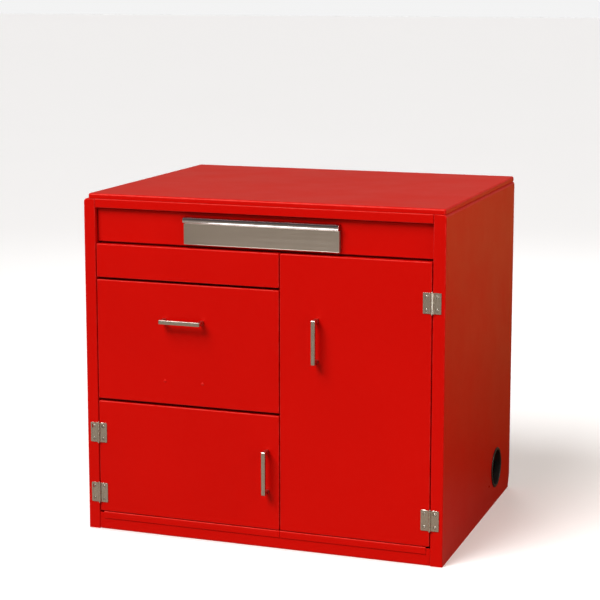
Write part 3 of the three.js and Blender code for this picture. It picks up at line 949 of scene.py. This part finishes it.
def hinge_pin(name, new_name):
    """Pin with a small ball at each end."""
    bm = bmesh.new()
    lo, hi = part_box(name)
    half, ball, neck, facets = (hi.z - lo.z) / 2, 0.0019, 0.0017, 6
    start = -math.acos(neck / ball)
    turns = [start + (math.pi / 2 - start) * k / facets for k in range(facets + 1)]
    cap = [(ball * math.cos(turn), half - ball + ball * math.sin(turn)) for turn in turns]
    cap[-1] = (0, half)
    profile = [(radius, -height) for radius, height in reversed(cap)] + cap
    turned(bm, profile, Matrix.Translation((lo + hi) / 2), steps=24)
    piece(new_name, bm, NICKEL_UPRIGHT, "cabinet", [name], eased=0)


for hinge, hand, side in (
    ("right_upper", "right", 1), ("right_lower", "right", 1),
    ("left_upper", "left", -1), ("left_lower", "left", -1),
):
    hinge_leaf(f"{hinge}_frame_leaf", "cabinet", side, 0)
    hinge_leaf(f"{hinge}_door_leaf", f"{hand}_door", -side, 1)
    hinge_pin(f"{hinge}_hinge_pin", f"{hinge}_pin")


# ---------------------------------------------------------------- drawers

HEM = 0.009  # depth of the hem round the rim of a drawer box
HEM_IN = 0.0026  # how far the hem stands inside the wall's outer face
BOX_CORNER = 0.003
RIM_CORNER = 0.0007


def drawer_box(name, body):
    """Open steel box with a hem folded inwards round its rim."""
    bm = bmesh.new()
    lo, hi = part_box(name)
    block(bm, lo, hi)
    bevel(bm, edges_along(bm, "z") + ring_of(faces_at(bm, z=lo.z)), BOX_CORNER, steps=4)
    mouth = faces_at(bm, z=hi.z)
    rim = ring_of(mouth)
    remove(bm, mouth)
    size = hi - lo
    shrink = (1 - 2 * HEM_IN / size.x, 1 - 2 * HEM_IN / size.y, 1)
    about = Matrix.Translation(-(lo + hi) / 2)
    for scale, drop in ((shrink, 0), ((1, 1, 1), HEM)):
        grown = bmesh.ops.extrude_edge_only(bm, edges=rim)["geom"]
        verts = verts_in(grown)
        bmesh.ops.scale(bm, verts=verts, vec=scale, space=about)
        bmesh.ops.translate(bm, verts=verts, vec=(0, 0, -drop))
        rim = [edge for edge in edges_in(grown) if edge.is_boundary]
    bevel(bm, edges_at(bm, z=hi.z), RIM_CORNER, steps=3)
    piece(name + "_tray", bm, ZINC, body, [name], wall=THIN, eased=0)


for drawer in DRAWERS:
    drawer_box(drawer + "_box", drawer)


def slide_member(name, body, opens):
    """One C section of a drawer slide; opens is the way its mouth faces along X."""
    bm = bmesh.new()
    lo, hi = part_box(name)
    half = THIN / 2
    web, mouth = (lo.x + half, hi.x) if opens > 0 else (hi.x - half, lo.x)
    low, high = lo.z + half, hi.z - half
    strip(bm, [(mouth, high), (web, high), (web, low), (mouth, low)], ALONG_Y, lo.y, hi.y, radius=THIN)
    piece(name + "_channel", bm, ZINC, body, [name], wall=THIN, offset=0)


HANDS = ("left", 1), ("right", -1)
SLIDES = [(drawer, hand, side) for drawer in ("top", "slim", "deep") for hand, side in HANDS]

for drawer, hand, side in SLIDES:
    slide_member(f"{drawer}_slide_{hand}_outer", "cabinet", side)
    slide_member(f"{drawer}_slide_{hand}_inner", f"{drawer}_drawer", -side)


def slide_screws(name, body, x, side, outer):
    """Three screws in one member of a slide, along the length of the outer one."""
    lo, hi = outer
    heads = bmesh.new()
    for share in (0.06, 0.45, 0.93):
        at = (x, lo.y + share * (hi.y - lo.y), (lo.z + hi.z) / 2)
        screw_head(heads, facing((side, 0, 0), at), radius=0.0036, rise=0.0012)
    piece(name + "_screws", heads, ZINC, body, eased=0)


def ball_cage(name, x, outer, inner):
    """Two rows of balls, each held in a thin strip, between the members of a slide."""
    bm = bmesh.new()
    lo, hi = outer
    ball, first, pitch, count = 0.002, 0.012, 0.017, 9
    half_width, half_thick, start = 0.0028, 0.0003, 0.002
    middle = (lo.z + hi.z) / 2
    track = (hi.z - THIN + inner[1].z) / 2 - middle
    end = lo.y + 2 * first + (count - 1) * pitch
    for up in (-1, 1):
        z = middle + up * track
        for k in range(count):
            place = Matrix.Translation((x, lo.y + first + k * pitch, z))
            bmesh.ops.create_icosphere(bm, subdivisions=2, radius=ball, matrix=place)
        low = (x - half_width, lo.y + start, z - half_thick)
        block(bm, low, (x + half_width, end, z + half_thick))
    piece(name + "_ball_cage", bm, ZINC, "cabinet", eased=0)


def slide_fixings(drawer, hand, side):
    """Screws in both members of a slide and the balls between them; side is +1 on the left."""
    name, into_race = f"{drawer}_slide_{hand}", 0.0064
    outer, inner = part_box(name + "_outer"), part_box(name + "_inner")
    wall, web = (outer[0].x, inner[1].x) if side > 0 else (outer[1].x, inner[0].x)
    slide_screws(name + "_outer", "cabinet", wall + side * THIN, side, outer)
    slide_screws(name + "_inner", f"{drawer}_drawer", web - side * THIN, -side, outer)
    ball_cage(name, wall + side * into_race, outer, inner)


for drawer, hand, side in SLIDES:
    slide_fixings(drawer, hand, side)


# ---------------------------------------------------------------- catches

CATCH_LIP = 0.0022  # rim of the catch's case
CATCH_SUNK = 0.0018  # depth of the magnet behind the rim
POLE = 0.0012  # thickness of a pole plate
STRIKE_CORNER = 0.002


def catch_case(hand):
    """Black case of a magnetic catch, with its magnet sunk in the mouth."""
    lo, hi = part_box(f"{hand}_door_catch")
    bm = bmesh.new()
    block(bm, lo, hi)
    mouth = faces_at(bm, y=lo.y)
    bmesh.ops.inset_region(bm, faces=mouth, thickness=CATCH_LIP)
    bmesh.ops.inset_region(bm, faces=mouth, thickness=0.0002, depth=-CATCH_SUNK)
    piece(f"{hand}_catch", bm, BLACK, "cabinet", [f"{hand}_door_catch"], eased=0.0006)


def catch_poles(hand):
    """The two steel plates beside the magnet."""
    lo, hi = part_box(f"{hand}_door_catch")
    back, into_magnet = 0.0001, 0.0005
    low, high = lo.z + 2 * CATCH_LIP, hi.z - 2 * CATCH_LIP
    bm = bmesh.new()
    for x in (lo.x + CATCH_LIP + 2 * POLE, hi.x - CATCH_LIP - 3 * POLE):
        block(bm, (x, lo.y + back, low), (x + POLE, lo.y + CATCH_SUNK + into_magnet, high))
    piece(f"{hand}_catch_poles", bm, ZINC, "cabinet", eased=0.0002)


def strike(hand):
    """Steel plate on the door that the catch holds, and its rivet."""
    lo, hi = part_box(f"{hand}_door_strike")
    bm = bmesh.new()
    block(bm, lo, hi)
    bevel(bm, edges_along(bm, "y"), STRIKE_CORNER, steps=4)
    piece(f"{hand}_strike", bm, ZINC, f"{hand}_door", [f"{hand}_door_strike"])
    middle = (lo + hi) / 2
    place = facing((0, 1, 0), (middle.x, hi.y, middle.z))
    rivet = bmesh.new()
    screw_head(rivet, place, radius=0.0024, rise=0.0002, depth=0.0002)
    piece(f"{hand}_strike_rivet", rivet, ZINC, f"{hand}_door", eased=0)


for hand in ("left", "right"):
    catch_case(hand)
    catch_poles(hand)
    strike(hand)


# ---------------------------------------------------------------- small fixings

def plugs():
    """Two dome plugs pressed into the front of the deep drawer."""
    bm = bmesh.new()
    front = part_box("deep_drawer_front")[0]
    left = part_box("left_side_panel")[0].x
    rise = 0.0585  # above the foot of the drawer's front
    dome = [
        (0, 0.0014), (0.0018, 0.0012), (0.0031, 0.0007), (0.0038, 0.0), (0.0038, -0.0005), (0, -0.0005),
    ]
    for from_left in (0.218, 0.320):
        place = facing((0, -1, 0), (left + from_left, front.y, front.z + rise))
        turned(bm, dome, place, steps=24)
    piece("deep_drawer_plugs", bm, RED, "deep_drawer", eased=0)


plugs()


def heads_at(name, places, body):
    """A group of screw heads that all face the back."""
    bm = bmesh.new()
    for place in places:
        screw_head(bm, facing((0, 1, 0), place), radius=0.0042, rise=0.0018)
    piece(name, bm, ZINC, body, eased=0)


def handle_screws(handle, body, y):
    """The two screws of a bar handle, seen on the inside."""
    lo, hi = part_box(handle)
    middle = (lo + hi) / 2
    if hi.z - lo.z > hi.x - lo.x:
        places = [(middle.x, y, z) for z in (lo.z + LEG / 2, hi.z - LEG / 2)]
    else:
        places = [(x, y, middle.z) for x in (lo.x + LEG / 2, hi.x - LEG / 2)]
    heads_at(f"{handle}_screws", places, body)


for hand in ("left", "right"):
    liner_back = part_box(f"{hand}_door_liner")[1].y
    handle_screws(f"{hand}_door_handle", f"{hand}_door", liner_back - LINER_FIELD)
handle_screws("deep_drawer_handle", "deep_drawer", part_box("deep_drawer_box")[0].y + THIN)


def front_screws(drawer, low, high):
    """Screws that hold a drawer's front to its box, above its foot and below its rim, and the pull's."""
    lo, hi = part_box(f"{drawer}_box")
    inset, pull_inset, pull_drop = 0.03, 0.04, 0.03
    inside = lo.y + THIN
    rows = (lo.z + low, hi.z - high)
    places = [(x, inside, z) for x in (lo.x + inset, hi.x - inset) for z in rows]
    if drawer == "top_drawer":
        pull_z = PULL[1].z - pull_drop
        places += [(x, inside, pull_z) for x in (PULL[0].x + pull_inset, PULL[1].x - pull_inset)]
    heads_at(f"{drawer}_front_screws", places, drawer)


front_screws("top_drawer", 0.012, 0.02)
front_screws("slim_drawer", 0.012, 0.02)
front_screws("deep_drawer", 0.02, 0.05)


def back_screws():
    """Screws round the edge of the back pan, into the returns behind it."""
    lo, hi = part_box("back_panel")
    inset, first, count = 0.016, 0.05, 6
    pitch = (hi.z - lo.z - 2 * first) / (count - 1)
    rows = [lo.z + first + k * pitch for k in range(count)]
    places = [(x, hi.y, z) for x in (lo.x + inset, hi.x - inset) for z in rows]
    places += [(lo.x + share * (hi.x - lo.x), hi.y, hi.z - inset) for share in (0.25, 0.5, 0.75)]
    heads_at("back_screws", places, "cabinet")


back_screws()


# ---------------------------------------------------------------- floor, light and camera

def stage_floor():
    """A plain floor, far wider than the view."""
    bm = bmesh.new()
    bmesh.ops.create_grid(bm, x_segments=2, y_segments=2, size=60)
    mesh = bpy.data.meshes.new("floor")
    bm.to_mesh(mesh)
    bm.free()
    mesh.materials.append(floor_finish())
    made = bpy.data.objects.new("floor", mesh)
    bpy.context.scene.collection.objects.link(made)


def softbox(name, at, target, size, power):
    """A rectangular area light aimed at a point."""
    light = bpy.data.lights.new(name, "AREA")
    light.shape = "RECTANGLE"
    light.energy = power
    light.size, light.size_y = size
    lamp = bpy.data.objects.new(name, light)
    lamp.location = at
    lamp.rotation_euler = (Vector(target) - Vector(at)).to_track_quat("-Z", "Y").to_euler()
    bpy.context.scene.collection.objects.link(lamp)
    return lamp


def daylight():
    """Broad soft light from high at the front."""
    sun = bpy.data.lights.new("daylight", "SUN")
    sun.energy = 3.0
    sun.angle = math.radians(35)
    lamp = bpy.data.objects.new("daylight", sun)
    lamp.rotation_euler = Vector((0.45, 0.75, -1.0)).to_track_quat("-Z", "Y").to_euler()
    bpy.context.scene.collection.objects.link(lamp)
    return lamp


def link_light(lamp, pieces, state):
    """Lets a lamp light only some pieces (INCLUDE), or all but those (EXCLUDE)."""
    lit = bpy.data.collections.new(lamp.name + "_lit")
    for one in pieces:
        lit.objects.link(one)
    for held in lit.collection_objects:
        held.light_linking.link_state = state
    lamp.light_linking.receiver_collection = lit


def reflector(name, at, target, size, power, pieces):
    """A card that only some pieces mirror, for the bright line on a rolled edge."""
    card = softbox(name, at, target, size, power)
    card.visible_camera = False
    link_light(card, pieces, "INCLUDE")


def sky():
    """Studio surroundings: dim and warm, darkest overhead, and white behind the cart."""
    world = bpy.data.worlds.new("studio")
    world.use_nodes = True
    tree = world.node_tree
    where = put(tree, "ShaderNodeTexCoord").outputs["Generated"]
    up = put(tree, "ShaderNodeSeparateXYZ", {"Vector": where}).outputs["Z"]
    height = spread(tree, up, 0.0, 0.7)
    dim = blend(tree, height, (0.26, 0.2, 0.15, 1), (0.1, 0.09, 0.09, 1))
    seen = put(tree, "ShaderNodeLightPath").outputs["Is Camera Ray"]
    background = tree.nodes["Background"].inputs
    tree.links.new(blend(tree, seen, dim, (0.9, 0.9, 0.9, 1)), background["Color"])
    background["Strength"].default_value = 1.0
    bpy.context.scene.world = world


def lighting():
    """Soft daylight and softboxes, with cards for the pull's nose and the hinge knuckles."""
    sun = daylight()
    front = softbox("front", at=(-0.9, -2.6, 2.6), target=(0, 0, 0.7), size=(1.6, 0.5), power=28)
    right = softbox("right", at=(3.0, -0.6, 2.4), target=(0.4, 0, 0.7), size=(1.4, 1.4), power=52)
    right.data.color = (1.0, 0.86, 0.72)
    rear = softbox("rear", at=(-0.9, 3.4, 2.6), target=(0, 0.4, 0.5), size=(1.6, 1.0), power=32)
    rear.visible_glossy = False
    edge = softbox("edge", at=(2.7, -2.2, 0.9), target=(0.2, -0.3, 0.6), size=(0.35, 1.6), power=8)
    edge.visible_camera = False
    pull = [bpy.data.objects["drawer_pull"]]
    link_light(sun, pull, "EXCLUDE")
    link_light(front, pull, "EXCLUDE")
    reflector(
        "nose_card", at=(0.03, -0.75, 0.22), target=(0.0, -0.36, 0.79), size=(0.9, 0.34), power=5,
        pieces=pull,
    )
    hinges = [one for one in bpy.data.objects if "_leaf_" in one.name or one.name.endswith("_pin")]
    reflector(
        "hinge_card", at=(1.6, -2.0, 0.36), target=(0.2, -0.36, 0.4), size=(0.8, 0.7), power=9,
        pieces=hinges,
    )
    sky()
    bpy.context.scene.view_settings.view_transform = "Standard"


def camera():
    """Camera in front and a little to the right, looking slightly down."""
    turn, tilt = 19.534, 8.588  # degrees
    data = bpy.data.cameras.new("view")
    data.lens = 103.4
    data.sensor_width = 36
    data.shift_y = -0.1
    made = bpy.data.objects.new("view", data)
    made.location = (1.4795, -4.2166, 1.3993)
    made.rotation_euler = (math.radians(90 - tilt), 0, math.radians(turn))
    bpy.context.scene.collection.objects.link(made)
    bpy.context.scene.camera = made


stage_floor()
lighting()
camera()
